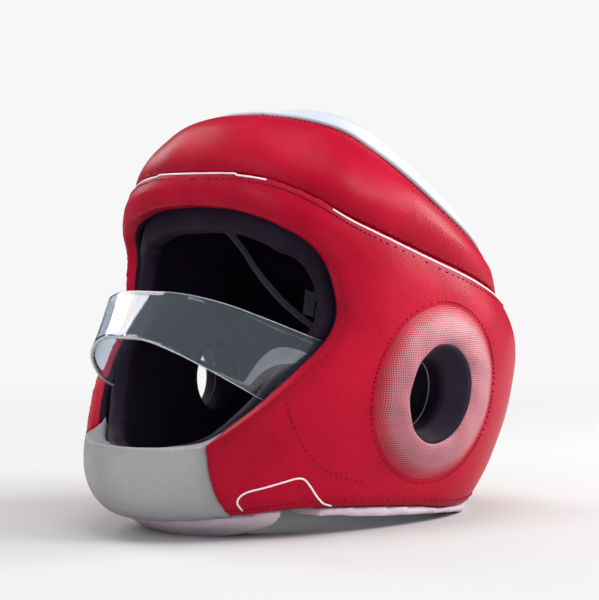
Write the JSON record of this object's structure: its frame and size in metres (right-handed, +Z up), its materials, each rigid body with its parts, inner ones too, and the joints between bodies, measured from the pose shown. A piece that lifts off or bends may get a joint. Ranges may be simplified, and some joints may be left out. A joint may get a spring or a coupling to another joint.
{
  "type": "boxing headgear",
  "caption": "Full-face padded boxing headgear, a rounded shell with an open face, a chin bar, a clear curved visor and padded rings round its ear holes.",
  "frame": {"origin": "middle of the footprint, on the surface that the headgear stands on", "axes": "+Z up, -Y ahead of the wearer, +X towards the wearer's left; the headgear is symmetric across X"},
  "size_m": [0.2626, 0.345, 0.29],
  "materials": {
    "red_leather": "satin, fine grain",
    "white_leather": "satin",
    "grey_leather": "satin",
    "trim_leather": "satin",
    "black_lining": "smooth knit",
    "grey_webbing": "woven",
    "mesh_fabric": "fine mesh print",
    "clear_plastic": "clear, polished"
  },
  "bodies": {
    "root": {"shell_lower": "red_leather", "shell_upper": "red_leather", "crown_panel": "white_leather", "crown_piping": "white_leather", "chin_pad": "grey_leather", "chin_underpad": "trim_leather", "base_trim": "trim_leather", "lining": "black_lining", "crown_pad": "black_lining", "pad_piping": "grey_webbing", "side_tab_left": "grey_webbing", "side_tab_right": "grey_webbing", "ear_ring_left": "mesh_fabric", "ear_ring_right": "mesh_fabric", "visor": "clear_plastic"}
  },
  "joints": []
}
